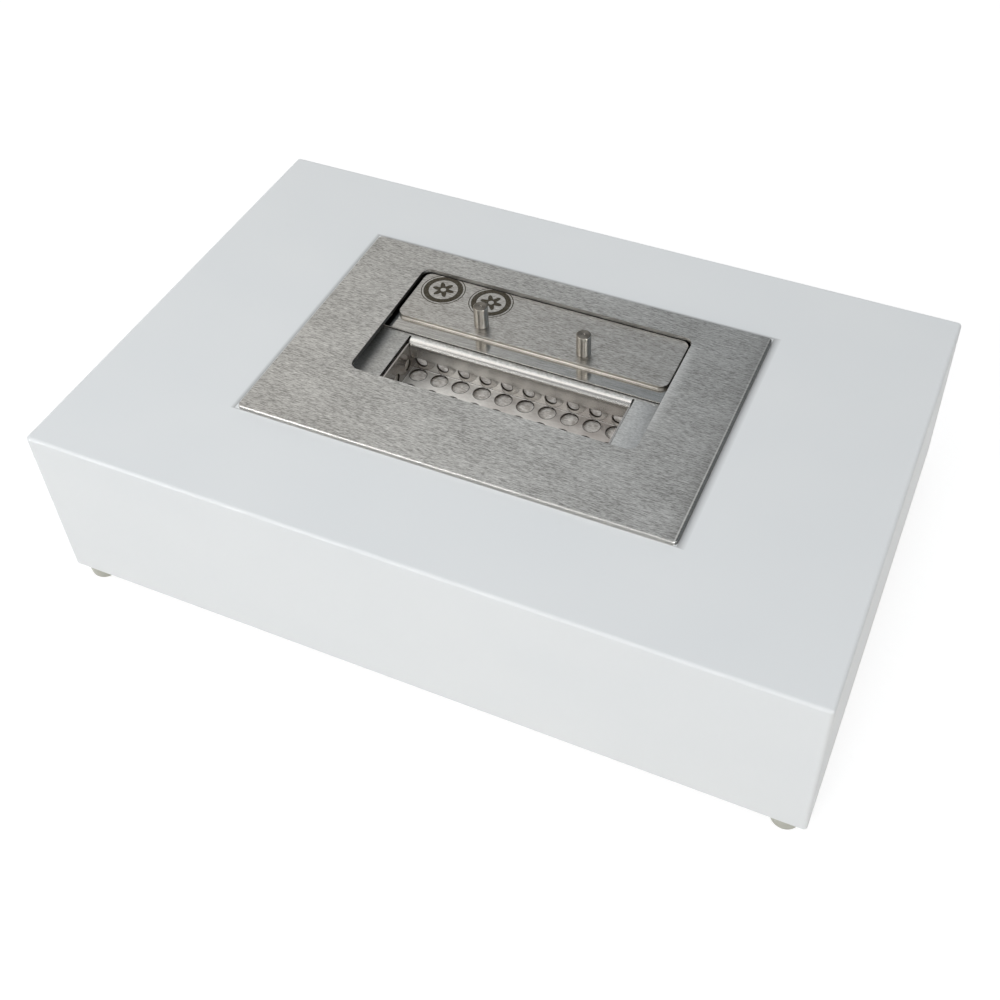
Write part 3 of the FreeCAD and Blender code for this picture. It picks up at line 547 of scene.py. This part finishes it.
# %% [markdown]
# ## The lid and its two marks
# Two round marks are etched into the lid's left half by current through a stencil, which leaves a
# dark olive brown oxide. They are plain rings here, each round a small rosette. A ring is where
# the distance from its middle lies between two radii, so the mark is worked out in the material.
# %% Etched marks
# Everything about the marks is in millimetres.
MARK_MIDDLES = [(-54.8, 42.9), (-30.0, 42.9)]
THIN_RING = (10.15, 10.6)
THICK_RING = (6.9, 9.4)
PETALS = 6.0
PETAL_MIDDLE = 4.0
PETAL_WAVE = 1.4
EYE_RADIUS = 1.3


def etched_mark(tree, axes, middle):
    """Two rings, and petals where the radius is under a cosine wave of the angle."""
    across = add(tree, "Math", axes["X"], 1000.0, operation="MULTIPLY")
    across = add(tree, "Math", across, middle[0], operation="SUBTRACT")
    back = add(tree, "Math", axes["Y"], 1000.0, operation="MULTIPLY")
    back = add(tree, "Math", back, middle[1], operation="SUBTRACT")
    flat = add(tree, "CombineXYZ", across, back)
    radius = add(tree, "VectorMath", flat, operation="LENGTH", out="Value")
    angle = add(tree, "Math", back, across, operation="ARCTAN2")
    turns = add(tree, "Math", angle, PETALS, operation="MULTIPLY")
    wave = add(tree, "Math", add(tree, "Math", turns, 0.0, operation="COSINE"), PETAL_WAVE,
               operation="MULTIPLY")
    edge = add(tree, "Math", wave, PETAL_MIDDLE)
    rings = add(tree, "Math", band(tree, radius, *THIN_RING), band(tree, radius, *THICK_RING))
    flower = add(tree, "Math", add(tree, "Math", radius, edge, operation="LESS_THAN"),
                 add(tree, "Math", radius, EYE_RADIUS, operation="GREATER_THAN"),
                 operation="MULTIPLY")
    return add(tree, "Math", rings, flower)


# %% Lid
# The lid's front: a darker upper band over a painted highlight low on the face.
lid_front = painted_front_tones("lid", 0.4, "#A39E95", "#F0ECE6")


def marked_lid(tree, place, colour, rough):
    """The marks on the lid's upper face alone, a little uneven, over the lid's own finish."""
    axes = add(tree, "SeparateXYZ", place).node.outputs
    ink = 0.0
    for middle in MARK_MIDDLES:
        ink = add(tree, "Math", ink, etched_mark(tree, axes, middle))
    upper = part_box("lid")[1].z - 0.1 * MM
    on_top = add(tree, "Math", axes["Z"], upper, operation="GREATER_THAN")
    ink = add(tree, "Math", ink, on_top, operation="MULTIPLY")
    stain = grain(tree, place, (0.8, 0.8, 0.8), detail=2.0)
    ink = add(tree, "Math", ink, add(tree, "MapRange", stain, 0.3, 0.7, 0.88, 1.0),
              operation="MULTIPLY")
    colour, rough = lid_front(tree, place, colour, rough)
    colour = add(tree, "Mix", {0: ink, 6: colour, 7: "#3A352A"}, **COLOURS)
    return colour, add(tree, "MapRange", ink, 0.0, 1.0, rough, 0.5)


lid_steel = stainless("brushed_stainless_lid", "#7E7B76", "#C8C6C2", (3.0, 0.45), 0.005,
                      (0.36, 0.28), 0.7, mottle=(12.0, 3.0), spots=marked_lid)
give_finish(lid_steel, "lid")

# %% [markdown]
# ## Pieces from meshes
# Every new piece is a mesh that is shaded smooth but for its sharp edges, has one finish, and
# rides on one of the three bodies: the housing, the burner or the slider. A mesh is made from
# arrays of points and of the numbers of each face's corners.
# %% Helpers for meshes


def mesh_of(name, points, faces):
    """A mesh from an array of points and a list of faces, each a list of its corners' numbers."""
    mesh = bpy.data.meshes.new(name)
    mesh.from_pydata(points.reshape(-1, 3).tolist(), [], faces)
    mesh.validate()
    return mesh


def new_piece(name, mesh, finish, body, sharp):
    """A piece from a mesh: smooth wherever two faces meet at less than the angle in degrees."""
    mesh.shade_smooth()
    mesh.set_sharp_from_angle(angle=math.radians(sharp))
    mesh.materials.append(finish)
    piece = bpy.data.objects.new(name, mesh)
    bpy.context.scene.collection.objects.link(piece)
    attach(piece, body)
    print(name, "has", len(mesh.polygons), "faces")
    return piece


# %% [markdown]
# ## Smooth bends
# A CAD node comes as loose flat triangles. That is right for flat sheet, but the wide round lips
# of the mouth are bright as a mirror and would show every facet. So the deck is copied, its
# doubled corners are joined, and everything but its sharp edges is shaded smooth.
# %% Deck
deck_mesh = nodes["burner_deck"].data.copy()
deck_mesh.materials.clear()
joined = bmesh.new()
joined.from_mesh(deck_mesh)
bmesh.ops.remove_doubles(joined, verts=joined.verts, dist=0.002 * MM)
joined.to_mesh(deck_mesh)
joined.free()
deck = new_piece("burner_deck_sheet", deck_mesh, deck_steel, "burner", 30)
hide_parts("burner_deck")

# %% [markdown]
# ## Turned steel
# The lid is pushed with two turned steel pins. A lathe leaves fine rings on the side and the end.
# The rings are noise that reads the distance from the pin's own middle and the height, so they
# close round the pin. They are drawn about a third of a millimetre wide, because the real ones are
# too fine to show.
# %% Turned steel
PIN_RADIUS = 3.3


def turned_steel(name, middle):
    """Turned bright steel: fine rings up the side and round the pin's own middle on its end. Light
    spreads across the rings, up the side and outwards on the end."""
    material, tree, place = start_material(name)
    local = add(tree, "Mapping", {"Vector": place, "Location": (-middle[0], -middle[1], 0.0)})
    axes = add(tree, "SeparateXYZ", local).node.outputs
    flat = add(tree, "CombineXYZ", axes["X"], axes["Y"])
    radius = add(tree, "VectorMath", flat, operation="LENGTH", out="Value")
    rings = add(tree, "CombineXYZ", radius, 0.0, axes["Z"])
    cuts = grain(tree, rings, (0.25, 1.0, 0.35), detail=2.0)
    dirt = grain(tree, place, (1.5, 1.5, 1.5), detail=3.0)
    colour = add(tree, "Mix", {0: dirt, 6: "#827D75", 7: "#A9A49C"}, **COLOURS)
    # The end face is painted darker, as shade.
    top = add(tree, "MapRange", facing(tree)["Z"], 0.6, 0.9, 0.0, 1.0)
    painted_end_shade = add(tree, "Math", top, 0.7, operation="MULTIPLY")
    colour = add(tree, "Mix", {0: painted_end_shade, 6: colour, 7: "#6A655E"}, **COLOURS)
    rough = add(tree, "MapRange", cuts, 0.3, 0.7, 0.34, 0.39)
    rough = add(tree, "MapRange", top, 0.0, 1.0, rough, 0.24)
    across = add(tree, "CombineXYZ", axes["X"], axes["Y"], PIN_RADIUS * MM)
    relief = add(tree, "Bump", {"Strength": 1.0, "Distance": 0.003 * MM, "Height": cuts})
    shader = add(tree, "BsdfPrincipled", {"Base Color": colour, "Roughness": rough,
                                          "Normal": relief, "Tangent": across,
                                          "Metallic": 1.0, "Anisotropic": 0.95})
    add(tree, "OutputMaterial", shader)
    return material


# %% [markdown]
# ## The pins
# A pin is a profile of radius and height in millimetres, turned once round. It goes from the
# blind hole for the screw over the foot, the side and a small bevel to the lathe's centre mark.
# %% Pin profile
PIN_HEIGHT = 11.0
BORE_RADIUS = 1.55
BORE_DEPTH = 6.0
BEVEL = 0.35
FOOT_BEVEL = 0.12
MARK_RADIUS = 0.6


def pin_profile():
    """Radius and height from the top of the bore, down, out, up the side and in to the mark."""
    quarter = np.linspace(0.0, math.pi / 2, 6)
    rim = np.stack([PIN_RADIUS - BEVEL + BEVEL * np.cos(quarter),
                    PIN_HEIGHT - BEVEL + BEVEL * np.sin(quarter)], axis=-1)
    heights = np.linspace(FOOT_BEVEL, PIN_HEIGHT - BEVEL, 9)[:-1]
    side = np.stack([np.full(8, PIN_RADIUS), heights], axis=-1)
    radii = np.linspace(PIN_RADIUS - BEVEL, MARK_RADIUS, 8)[1:]
    end = np.stack([radii, np.full(7, PIN_HEIGHT)], axis=-1)
    bore = [(0.02, BORE_DEPTH), (BORE_RADIUS, BORE_DEPTH), (BORE_RADIUS, 0.0)]
    foot = [(PIN_RADIUS - FOOT_BEVEL, 0.0)]
    mark = [(0.3, PIN_HEIGHT - 0.25), (0.02, PIN_HEIGHT - 0.4)]
    return np.concatenate([bore, foot, side, rim, end, mark])


# %% Turning
PIN_STEPS = 96


def turned(profile, middle, foot):
    """Each profile point goes once round a circle of its radius: x = r cos a, y = r sin a."""
    angle = np.linspace(0.0, 2 * math.pi, PIN_STEPS, endpoint=False)
    radius, height = profile[:, :1] * MM, profile[:, 1:] * MM
    points = np.empty((len(profile), PIN_STEPS, 3))
    points[..., 0] = middle[0] + radius * np.cos(angle)
    points[..., 1] = middle[1] + radius * np.sin(angle)
    points[..., 2] = foot + height
    return points


def turned_mesh(name, points):
    """Quads on a (rows, columns, 3) grid whose columns close on themselves, and a fan from the
    middle of the first row and of the last."""
    rows, columns = points.shape[:2]
    number = np.arange(rows * columns).reshape(rows, columns)
    following = np.roll(number, -1, axis=1)
    quads = np.stack([number[:-1], following[:-1], following[1:], number[1:]], axis=-1).reshape(-1, 4)
    first, last = rows * columns, rows * columns + 1
    low = np.stack([np.full(columns, first), following[0], number[0]], axis=-1)
    high = np.stack([np.full(columns, last), number[-1], following[-1]], axis=-1)
    ends = np.array([points[0].mean(0), points[-1].mean(0)])
    vertices = np.concatenate([points.reshape(-1, 3), ends])
    return mesh_of(name, vertices, quads.tolist() + low.tolist() + high.tolist())


# %% Pins
for side in ("left", "right"):
    low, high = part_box("knob_" + side)
    middle = ((low.x + high.x) / 2, (low.y + high.y) / 2)
    finish = turned_steel("turned_stainless_" + side, middle)
    pin_mesh = turned_mesh("pin_" + side, turned(pin_profile(), middle, low.z))
    pin = new_piece("pin_" + side, pin_mesh, finish, "slider", 30)
    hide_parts("knob_" + side)
    give_finish(finish, "knob_screw_" + side)

# %% [markdown]
# ## Ceramic wool
# The tank is packed with ceramic wool, a felt of fine white fibres that soaks up the fuel. It shows
# through the holes of the tray as a pale mat, pressed flat against the sheet. Real fibres are microns
# thick, so a bump draws strands and tufts of half a millimetre to three instead, and the gaps between
# them are painted darker, as shade.
# %% Wool finish


def wool_finish():
    """Strands in two directions, the higher one on top, over round tufts."""
    material, tree, place = start_material("ceramic_wool")
    strands = grain(tree, place, (3.2, 0.55, 0.8), detail=3.0, rough=0.6, turn=0.6)
    crossed = grain(tree, place, (3.2, 0.55, 0.8), detail=3.0, rough=0.6, turn=-0.8)
    tufts = grain(tree, place, (2.4, 2.4, 2.4), detail=3.0)
    mat = add(tree, "Math", strands, crossed, operation="MAXIMUM")
    height = add(tree, "Math", mat, add(tree, "Math", tufts, 0.8, operation="MULTIPLY"))
    # The low gaps get a darker colour: painted shade.
    share = add(tree, "MapRange", height, 0.8, 1.15, 0.0, 1.0)
    colour = add(tree, "Mix", {0: share, 6: "#BDB6AD", 7: "#FAF6F0"}, **COLOURS)
    relief = add(tree, "Bump", {"Strength": 1.0, "Distance": 0.25 * MM, "Height": height})
    shader = add(tree, "BsdfPrincipled", {"Base Color": colour, "Normal": relief,
                                          "Roughness": 0.95, "Sheen Weight": 0.3,
                                          "Sheen Roughness": 0.6, "IOR": 1.5})
    add(tree, "OutputMaterial", shader)
    return material


wool = wool_finish()

# %% [markdown]
# ## The slab of wool
# Under the tray lies a slab of wool, cut with round corners. It is two sheets of points, one below
# and one above, joined by a wall. Lumps press its top down and its rim falls off, so it stays
# within the room that its CAD solid holds.
# %% Lumps


def lumps(points, height, seed):
    """A smooth lumpy height: the sum of 14 waves with random directions, 16 to 3 mm long."""
    rng = np.random.default_rng(seed)
    lengths = np.geomspace(16.0, 3.0, 14) * MM
    directions = rng.normal(size=(14, 3))
    directions /= np.linalg.norm(directions, axis=1, keepdims=True)
    phases = rng.uniform(0.0, 2 * math.pi, 14)
    total = np.sin(np.tensordot(points, directions.T * (2 * math.pi / lengths), axes=1) + phases)
    return height * MM * total.sum(-1) / 5.0


# %% The slab's outline
SLAB_GRID = (240, 144)
WOOL_CORNER = 4.0 * MM

low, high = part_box("wool_base")
along = np.linspace(low.x, high.x, SLAB_GRID[0])
across = np.linspace(low.y, high.y, SLAB_GRID[1])
plane = np.stack(np.meshgrid(along, across, indexing="ij"), axis=-1)
# In a corner's square, each point keeps its direction from the square's inner corner, and its
# larger step becomes its distance, which bends the square into a quarter of a disc.
inner = np.clip(plane, [low.x + WOOL_CORNER, low.y + WOOL_CORNER],
                [high.x - WOOL_CORNER, high.y - WOOL_CORNER])
reach = plane - inner
distance = np.linalg.norm(reach, axis=-1, keepdims=True)
square = np.abs(reach).max(-1, keepdims=True)
plane = inner + reach * square / np.maximum(distance, 1e-9)
print("slab grid:", SLAB_GRID)

# %% The slab's two sheets
RIM_FALL = 1.2 * MM
RIM_WIDTH = 1.5 * MM
SLAB_ROOM = 0.5 * MM

rim = np.minimum(np.minimum(plane[..., 0] - low.x, high.x - plane[..., 0]),
                 np.minimum(plane[..., 1] - low.y, high.y - plane[..., 1]))
fall = RIM_FALL * np.clip(1.0 - rim / RIM_WIDTH, 0.0, 1.0) ** 2
top = np.concatenate([plane, np.full(SLAB_GRID + (1,), high.z - SLAB_ROOM)], axis=-1)
top[..., 2] -= fall + np.abs(lumps(top, 0.35, 3))
bottom = np.concatenate([plane, np.full(SLAB_GRID + (1,), low.z)], axis=-1)
bottom[..., 2] += fall
# The lower sheet's columns run the other way, so that its faces look down.
sheets = np.stack([bottom[:, ::-1], top])
print("slab thickness:", round((top[..., 2] - bottom[..., 2]).max() / MM, 2), "mm")

# %% The slab's faces
number = np.arange(sheets[..., 0].size).reshape(2, *SLAB_GRID)
faces = [np.stack([n[:-1, :-1], n[1:, :-1], n[1:, 1:], n[:-1, 1:]], axis=-1).reshape(-1, 4)
         for n in number]
low_ring = np.concatenate([number[0][:-1, -1], number[0][-1, ::-1][:-1],
                           number[0][::-1, 0][:-1], number[0][0, :-1]])
high_ring = np.concatenate([number[1][:-1, 0], number[1][-1, :-1],
                            number[1][::-1, -1][:-1], number[1][0, ::-1][:-1]])
walls = np.stack([low_ring, np.roll(low_ring, -1), np.roll(high_ring, -1), high_ring], axis=-1)
slab_mesh = mesh_of("wool_slab", sheets, np.concatenate(faces + [walls]).tolist())
wool_slab = new_piece("wool_slab", slab_mesh, wool, "burner", 70)
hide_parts("wool_base")

# %% [markdown]
# ## The collar of wool
# More wool fills the tank round the tray. It is one loop round the tank carried along a closed
# profile: up the tray's wall, outwards over the lumpy top, down the tank's wall and back below.
# Each profile point lies a share of the way from the tray to the tank, at its own height.
# %% A rounded loop


def rounded_loop(low, high, corner, spacing):
    """A loop round a rectangle with round corners: even steps of arc length, as x and y."""
    fine = []
    for index, (sx, sy) in enumerate(((1, -1), (1, 1), (-1, 1), (-1, -1))):
        start = math.radians(-90 + 90 * index)
        angle = np.linspace(start, start + math.pi / 2, 24)
        centre = np.array([high[0] - corner if sx > 0 else low[0] + corner,
                           high[1] - corner if sy > 0 else low[1] + corner])
        fine.append(centre + corner * np.stack([np.cos(angle), np.sin(angle)], axis=-1))
    fine = np.concatenate(fine + [fine[0][:1]])
    length = np.concatenate([[0.0], np.cumsum(np.linalg.norm(np.diff(fine, axis=0), axis=1))])
    steps = np.linspace(0.0, length[-1], int(length[-1] / spacing), endpoint=False)
    return np.stack([np.interp(steps, length, fine[:, axis]) for axis in (0, 1)], axis=-1)


low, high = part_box("wool_collar")
tray_low, tray_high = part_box("flame_tray")
TRAY_GAP = 0.35 * MM
outer_loop = rounded_loop((low.x, low.y), (high.x, high.y), WOOL_CORNER, 1.0 * MM)
inner_loop = np.stack([np.clip(outer_loop[:, 0], tray_low.x - TRAY_GAP, tray_high.x + TRAY_GAP),
                       np.clip(outer_loop[:, 1], tray_low.y - TRAY_GAP, tray_high.y + TRAY_GAP)],
                      axis=-1)
print("loop:", len(outer_loop), "points")

# %% The collar's profile
# Rows of points up the tray's wall, over the top, down the tank's wall and below.
INNER_ROWS, TOP_ROWS, OUTER_ROWS, UNDER_ROWS = 9, 22, 5, 8
over_top = slice(INNER_ROWS, INNER_ROWS + TOP_ROWS)

inner_top = high.z - 5.0 * MM
outer_top = high.z - 0.6 * MM
share = np.concatenate([np.zeros(INNER_ROWS), np.linspace(0.04, 1.0, TOP_ROWS),
                        np.ones(OUTER_ROWS), np.linspace(0.96, 0.04, UNDER_ROWS)])
slope = np.linspace(0.0, 1.0, TOP_ROWS) ** 0.6
rise = np.concatenate([np.linspace(low.z + 0.4 * MM, inner_top - 0.6 * MM, INNER_ROWS),
                       inner_top + (outer_top - inner_top) * slope,
                       np.linspace(high.z - 1.5 * MM, low.z + 0.6 * MM, OUTER_ROWS),
                       np.full(UNDER_ROWS, low.z + 0.1 * MM)])
print("profile:", len(share), "points")

# %% The collar
collar = np.empty((len(share), len(outer_loop), 3))
collar[..., :2] = inner_loop + (outer_loop - inner_loop) * share[:, None, None]
collar[..., 2] = rise[:, None]
collar[over_top, :, 2] -= np.abs(lumps(collar[over_top], 0.3, 5))
number = np.arange(collar[..., 0].size).reshape(collar.shape[:2])
after = np.roll(number, -1, axis=1)
quads = np.stack([number, np.roll(number, -1, axis=0), np.roll(after, -1, axis=0), after], axis=-1)
ring_mesh = mesh_of("wool_ring", collar, quads.reshape(-1, 4).tolist())
wool_ring = new_piece("wool_ring", ring_mesh, wool, "burner", 70)
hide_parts("wool_collar")

# %% [markdown]
# ## The floor
# The photograph has a pure white ground. The floor is pale grey for the light that it throws back
# at the object, and looks white to the camera and in reflections, where a glow is added to a dim
# surface that still takes a weak shadow.
# %% Floor
FLOOR_REACH = 6.0
GLOW = 0.8


def white_ground():
    """Light Path tells rays that look at the floor, straight or mirrored, from those that gather
    the light it throws back."""
    material, tree, _ = start_material("white_ground")
    rays = add(tree, "LightPath").node.outputs
    looks = add(tree, "Math", rays["Is Camera Ray"], rays["Is Glossy Ray"])
    looks = add(tree, "Math", looks, rays["Is Transmission Ray"])
    thrown = add(tree, "BsdfDiffuse", "#E6E6E4")
    looked_at = add(tree, "AddShader", add(tree, "BsdfDiffuse", "#9A9A9A"),
                    add(tree, "Emission", "#FFFFFF", GLOW))
    add(tree, "OutputMaterial", add(tree, "MixShader", looks, thrown, looked_at))
    return material


floor_mesh = bpy.data.meshes.new("floor")
corners = [(-FLOOR_REACH, -FLOOR_REACH, 0), (FLOOR_REACH, -FLOOR_REACH, 0),
           (FLOOR_REACH, FLOOR_REACH, 0), (-FLOOR_REACH, FLOOR_REACH, 0)]
floor_mesh.from_pydata(corners, [], [(0, 1, 2, 3)])
floor_mesh.materials.append(white_ground())
floor = bpy.data.objects.new("floor", floor_mesh)
bpy.context.scene.collection.objects.link(floor)
print("floor:", 2 * FLOOR_REACH, "m wide")

# %% [markdown]
# ## Two lamps
# A small lamp from the left and above draws the soft shadows, and a wider one lights the front.
# Metal would mirror them as hard bright patches, so they are hidden from reflections, and the
# studio that metal sees is painted in the next cell.
# %% Lamps


def lamp(name, place, aim, size, power, colour="#FFFFFF"):
    """A rectangular area lamp that faces the point it is aimed at."""
    data = bpy.data.lights.new(name, "AREA")
    data.shape = "RECTANGLE"
    data.size, data.size_y = size
    data.energy = power
    data.color = linear(colour)[:3]
    lamp_object = bpy.data.objects.new(name, data)
    direction = Vector(aim) - Vector(place)
    lamp_object.matrix_world = (Matrix.Translation(Vector(place))
                                @ direction.to_track_quat("-Z", "Y").to_matrix().to_4x4())
    lamp_object.visible_glossy = False
    bpy.context.scene.collection.objects.link(lamp_object)
    print(name, "gives", power, "W")


middle_of_top = (0.0, 0.0, 0.09)
lamp("left_lamp", (-1.56, -0.45, 1.75), middle_of_top, (0.7, 0.7), 5.0)
lamp("front_lamp", (-0.2, -1.5, 1.3), middle_of_top, (1.2, 0.9), 17.1, "#F4F8FF")

# %% [markdown]
# ## The studio round the object
# Large soft lights are painted into the world, each a patch round a direction, full inside one
# angle and fading to nothing at another. One set lights the paint and the rubber: from overhead,
# from the front, from the right and from behind. Metal mirrors a set of its own, in which small
# bright patches draw the gleams on the lips and the pins.
# %% Soft lights
# Direction, angle where full and where it ends in degrees, strength and colour.
PAINT_LIGHTS = [((0.0, 0.1, 1.0), 22, 42, 0.89, "#F4FAFF"),
                ((-0.1, -0.87, 0.5), 10, 40, 0.80, "#FFF6EA"),
                ((0.85, -0.3, 0.45), 10, 35, 0.60, "#FFF2E4"),
                ((0.0, 0.97, 0.22), 8, 34, 1.4, "#FFFFFF")]
METAL_LIGHTS = [((-0.38, 0.06, 0.92), 15, 42, 1.25, "#FFFFFF"),
                ((-0.52, -0.85, 0.10), 4, 9, 18.0, "#FFFFFF"),
                ((-0.80, -0.60, 0.45), 8, 24, 3.0, "#FFFFFF"),
                ((-0.31, -0.94, 0.14), 6, 22, 1.1, "#FFFFFF"),
                ((0.35, -0.93, 0.15), 8, 20, 7.0, "#FFFFFF"),
                ((0.82, -0.57, 0.15), 4, 9, 40.0, "#FFFFFF"),
                ((0.45, -0.75, 0.50), 12, 45, 0.5, "#FFFFFF")]

world = bpy.data.worlds.new("studio")
bpy.context.scene.world = world
world.use_nodes = True
sky = world.node_tree
sky.nodes.clear()
ray = add(sky, "TexCoord", out="Generated")


def studio(even, patches):
    """An even light and a list of soft ones, added together. Each is a smoothstep of the cosine
    between the ray and the patch's direction."""
    total = add(sky, "Background", "#FFFFFF", even)
    for direction, inner, outer, strength, colour in patches:
        cosine = add(sky, "VectorMath", ray, Vector(direction).normalized(),
                     operation="DOT_PRODUCT", out="Value")
        amount = add(sky, "MapRange", cosine, math.cos(math.radians(outer)),
                     math.cos(math.radians(inner)), 0.0, strength, interpolation_type="SMOOTHSTEP")
        total = add(sky, "AddShader", total, add(sky, "Background", colour, amount))
    print(len(patches), "soft lights")
    return total


# %% [markdown]
# ## The horizon
# Under those patches, metal mirrors a white room. It is brightest low down, bright on the left and
# on the far right and dim between them, half as strong in front as behind, and warm on the left.
# Straight rays skip all of this and see plain white, which is the photograph's background.
# %% The horizon that metal mirrors
way = add(sky, "SeparateXYZ", ray).node.outputs
rise = add(sky, "MapRange", way["Z"], 0.05, 0.85, 0.9, 0.33)
left_side = add(sky, "MapRange", way["X"], -0.5, 0.1, 1.18, 0.14)
right_side = add(sky, "MapRange", way["X"], 0.25, 0.75, 0.0, 1.4)
behind = add(sky, "MapRange", way["Y"], -0.4, 0.4, 0.5, 1.0)
sideways = add(sky, "Math", left_side, right_side)
strength = add(sky, "Math", add(sky, "Math", rise, sideways, operation="MULTIPLY"), behind,
               operation="MULTIPLY")
coolness = add(sky, "MapRange", way["X"], -0.5, -0.15, 0.0, 1.0)
tint = add(sky, "Mix", {0: coolness, 6: "#FFF9EF", 7: "#DCEEFF"}, **COLOURS)
horizon = add(sky, "Background", tint, strength)
print("horizon:", len(sky.nodes), "nodes so far")

# %% What each ray sees
paint_sees = studio(0.10, PAINT_LIGHTS)
metal_sees = add(sky, "AddShader", studio(0.06, METAL_LIGHTS), horizon)
rays = add(sky, "LightPath").node.outputs
seen = add(sky, "MixShader", rays["Is Glossy Ray"], paint_sees, metal_sees)
straight = add(sky, "Math", rays["Is Camera Ray"], rays["Is Transmission Ray"])
white = add(sky, "Background", "#FFFFFF", 1.0)
add(sky, "OutputWorld", add(sky, "MixShader", straight, seen, white))
print("world:", len(sky.nodes), "nodes")
